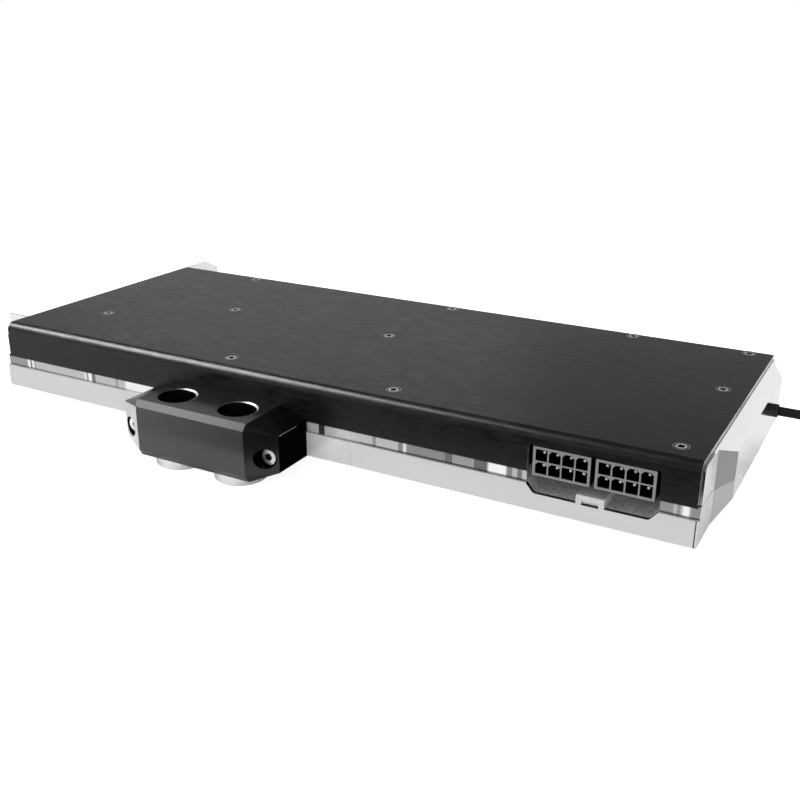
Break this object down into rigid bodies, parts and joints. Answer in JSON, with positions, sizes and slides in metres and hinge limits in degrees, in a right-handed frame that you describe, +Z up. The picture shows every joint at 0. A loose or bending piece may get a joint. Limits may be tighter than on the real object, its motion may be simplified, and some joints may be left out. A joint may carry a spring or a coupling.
{
  "type": "liquid cooling cold plate",
  "caption": "Full-cover liquid cold plate on a circuit board, with a metal backplate, coolant terminal, power sockets and slot bracket.",
  "frame": {"origin": "on the surface it stands on, under the middle of its own box, measured without the lighting lead", "axes": "+X along the backplate from the slot bracket towards the lead, +Y from the coolant terminal towards the contact tab, +Z up out of the backplate"},
  "size_m": [0.3911, 0.1554, 0.0338],
  "materials": {
    "black_anodised": "brushed black anodised sheet",
    "screw_steel": "plain steel, turned",
    "spacer_brass": "turned",
    "thermal_pad": "soft grey pad",
    "circuit_board": "black solder resist",
    "socket_black": "moulded",
    "tinned_pin": "tinned",
    "package_green": "laminate",
    "silicon": "polished",
    "chip_black": "moulded",
    "choke_grey": "pressed powder",
    "capacitor_can": "drawn can",
    "socket_shell": "folded shell",
    "bracket_nickel": "nickel plated sheet",
    "frame_polished": "milled and polished",
    "nickel_plate": "nickel plated, fine milled",
    "clear_acrylic": "clear, polished edges",
    "seal_rubber": "moulded",
    "terminal_black": "machined acetal, satin",
    "plug_white": "pearl plated, smooth",
    "light_strip": "diffuser",
    "sleeve_grey": "moulded",
    "lead_black": "extruded jacket",
    "connector_black": "moulded"
  },
  "bodies": {
    "root": {"backplate": "black_anodised", "backplate_screws": "screw_steel", "board_spacers": "spacer_brass", "rear_pad": "thermal_pad", "circuit_board": "circuit_board", "power_socket_1": "socket_black", "power_socket_2": "socket_black", "power_pins": "tinned_pin", "processor_package": "package_green", "processor_die": "silicon", "memory_chips": "chip_black", "memory_pads": "thermal_pad", "power_stages": "chip_black", "power_stage_pads": "thermal_pad", "chokes": "choke_grey", "capacitors": "capacitor_can", "display_socket_1": "socket_shell", "display_socket_2": "socket_shell", "display_socket_3": "socket_shell", "slot_bracket": "bracket_nickel", "bracket_screws": "screw_steel", "side_frame": "frame_polished", "cold_plate": "nickel_plate", "cover": "clear_acrylic", "cover_gasket": "seal_rubber", "cover_screws": "screw_steel", "frame_screws": "screw_steel", "terminal_block": "terminal_black", "terminal_seals": "seal_rubber", "terminal_screws": "screw_steel", "port_plugs": "plug_white", "plug_seals": "seal_rubber", "light_strip": "light_strip", "strip_tail": "lead_black", "lead_sleeve": "sleeve_grey", "lead": "lead_black", "lead_coil": "lead_black", "lead_connector": "connector_black"}
  },
  "joints": []
}
